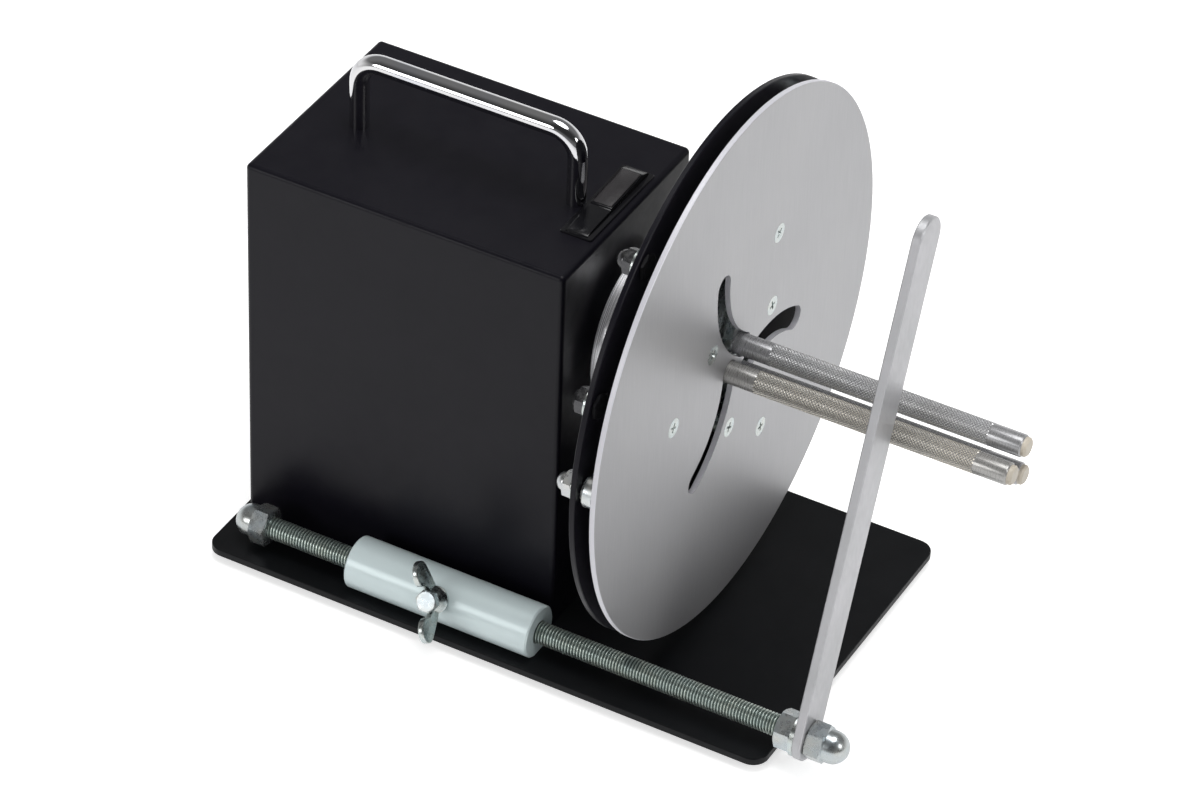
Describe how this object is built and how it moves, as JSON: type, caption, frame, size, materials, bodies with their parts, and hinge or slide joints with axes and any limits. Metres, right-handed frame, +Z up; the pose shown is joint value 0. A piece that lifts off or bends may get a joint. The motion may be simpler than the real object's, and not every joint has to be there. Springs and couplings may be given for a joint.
{
  "type": "label rewinder",
  "caption": "Bench label rewinder: black motor housing on a base plate, collapsible finger chuck between two discs, and a sliding roll guide.",
  "frame": {"origin": "centre of the base plate's underside", "axes": "+X along the spindle from the housing to the finger tips, +Y to the back, +Z up"},
  "size_m": [0.4165, 0.3, 0.3159],
  "materials": {
    "black_plate": "fine satin black powder coat",
    "black_coat": "satin black powder coat",
    "rubber": "matt",
    "zinc": "bright zinc plate",
    "dome_steel": "zinc plate",
    "switch_plastic": "black, glossy with a grained rear pad",
    "chrome": "polished chrome",
    "cast_alloy": "as cast, machined faces",
    "bearing_steel": "ground",
    "motor_paint": "satin",
    "turned_alloy": "polished, turned",
    "disc_alloy": "satin, blasted and anodised",
    "bronze": "turned",
    "block_paint": "pale grey satin",
    "bar_alloy": "satin",
    "lever_zinc": "zinc plate",
    "finger_steel": "nickel plate with a diamond knurl",
    "tip_plastic": "ivory"
  },
  "bodies": {
    "root": {"base_plate": "black_plate", "rubber_feet": "rubber", "housing_cover": "black_coat", "cover_screws": "zinc", "rear_panel": "black_coat", "rear_panel_screws": "zinc", "power_inlet": "switch_plastic", "carry_handle": "chrome", "handle_screws": "zinc", "switch_frame": "switch_plastic", "motor_bracket": "zinc", "bracket_screws": "zinc", "bearing_block": "cast_alloy", "shaft_bearings": "bearing_steel", "plate_screws": "zinc", "gear_box": "cast_alloy", "motor_can": "motor_paint", "guide_block": "block_paint", "block_screws": "zinc"},
    "spindle": {"spindle_shaft": "bearing_steel", "hub_drum": "turned_alloy", "disc_retainer": "zinc", "hub_posts": "zinc", "hub_screws": "zinc", "front_disc": "disc_alloy", "pivot_bushes": "bronze", "pivot_nuts": "zinc", "pivot_screws": "zinc"},
    "rear_ring": {"rear_disc": "black_coat", "rim_bolts": "zinc", "rim_washers": "zinc", "rim_hex_nut": "zinc", "rim_dome_nut": "dome_steel"},
    "lever_a": {"finger_lever_a": "lever_zinc", "finger_rod_a": "finger_steel", "finger_tip_a": "tip_plastic", "lever_stud_a": "zinc", "lever_washer_a": "zinc", "lever_nut_a": "dome_steel"},
    "lever_b": {"finger_lever_b": "lever_zinc", "finger_rod_b": "finger_steel", "finger_tip_b": "tip_plastic", "lever_stud_b": "zinc", "lever_washer_b": "zinc", "lever_nut_b": "dome_steel"},
    "lever_c": {"finger_lever_c": "lever_zinc", "finger_rod_c": "finger_steel", "finger_tip_c": "tip_plastic", "lever_stud_c": "zinc", "lever_washer_c": "zinc", "lever_nut_c": "dome_steel"},
    "rocker": {"switch_rocker": "switch_plastic"},
    "wing_screw": {"clamp_bolt": "zinc", "wing_nut": "zinc"},
    "guide_rod": {"threaded_rod": "zinc", "left_cap_nut": "zinc"},
    "guide_arm": {"guide_bar": "bar_alloy", "inner_nut": "zinc", "guide_washer": "zinc", "outer_cap_nut": "zinc"}
  },
  "joints": [
    {"name": "spindle_spin", "type": "hinge", "parent": "root", "child": "spindle", "pos_m": [0.023, 0.0039, 0.1609], "axis": [1, 0, 0], "continuous": true},
    {"name": "chuck_turn", "type": "hinge", "parent": "spindle", "child": "rear_ring", "pos_m": [0.076, 0.0039, 0.1609], "axis": [-1, 0, 0], "range_deg": [0, 7]},
    {"name": "lever_swing_a", "type": "hinge", "parent": "spindle", "child": "lever_a", "pos_m": [0.083, 0.04251, 0.21857], "axis": [-1, 0, 0], "range_deg": [0, 14]},
    {"name": "lever_swing_b", "type": "hinge", "parent": "spindle", "child": "lever_b", "pos_m": [0.083, -0.06535, 0.1655], "axis": [-1, 0, 0], "range_deg": [0, 14]},
    {"name": "lever_swing_c", "type": "hinge", "parent": "spindle", "child": "lever_c", "pos_m": [0.083, 0.03454, 0.09863], "axis": [-1, 0, 0], "range_deg": [0, 14]},
    {"name": "switch_rock", "type": "hinge", "parent": "root", "child": "rocker", "pos_m": [0.0102, 0.0049, 0.2308], "axis": [-1, 0, 0], "range_deg": [0, 10]},
    {"name": "wing_turn", "type": "hinge", "parent": "root", "child": "wing_screw", "pos_m": [-0.0274, -0.10092, 0.0268], "axis": [0, -0.866, 0.5], "range_deg": [0, 180]},
    {"name": "guide_slide", "type": "slide", "parent": "root", "child": "guide_rod", "axis": [1, 0, 0], "range_m": [-0.089, 0.051]},
    {"name": "guide_swing", "type": "hinge", "parent": "guide_rod", "child": "guide_arm", "pos_m": [0.183, -0.0836, 0.0168], "axis": [1, 0, 0], "range_deg": [0, 110]}
  ],
  "couplings": [
    {"joint": "lever_swing_a", "follows": "chuck_turn", "ratio": 2},
    {"joint": "lever_swing_b", "follows": "chuck_turn", "ratio": 2},
    {"joint": "lever_swing_c", "follows": "chuck_turn", "ratio": 2}
  ]
}
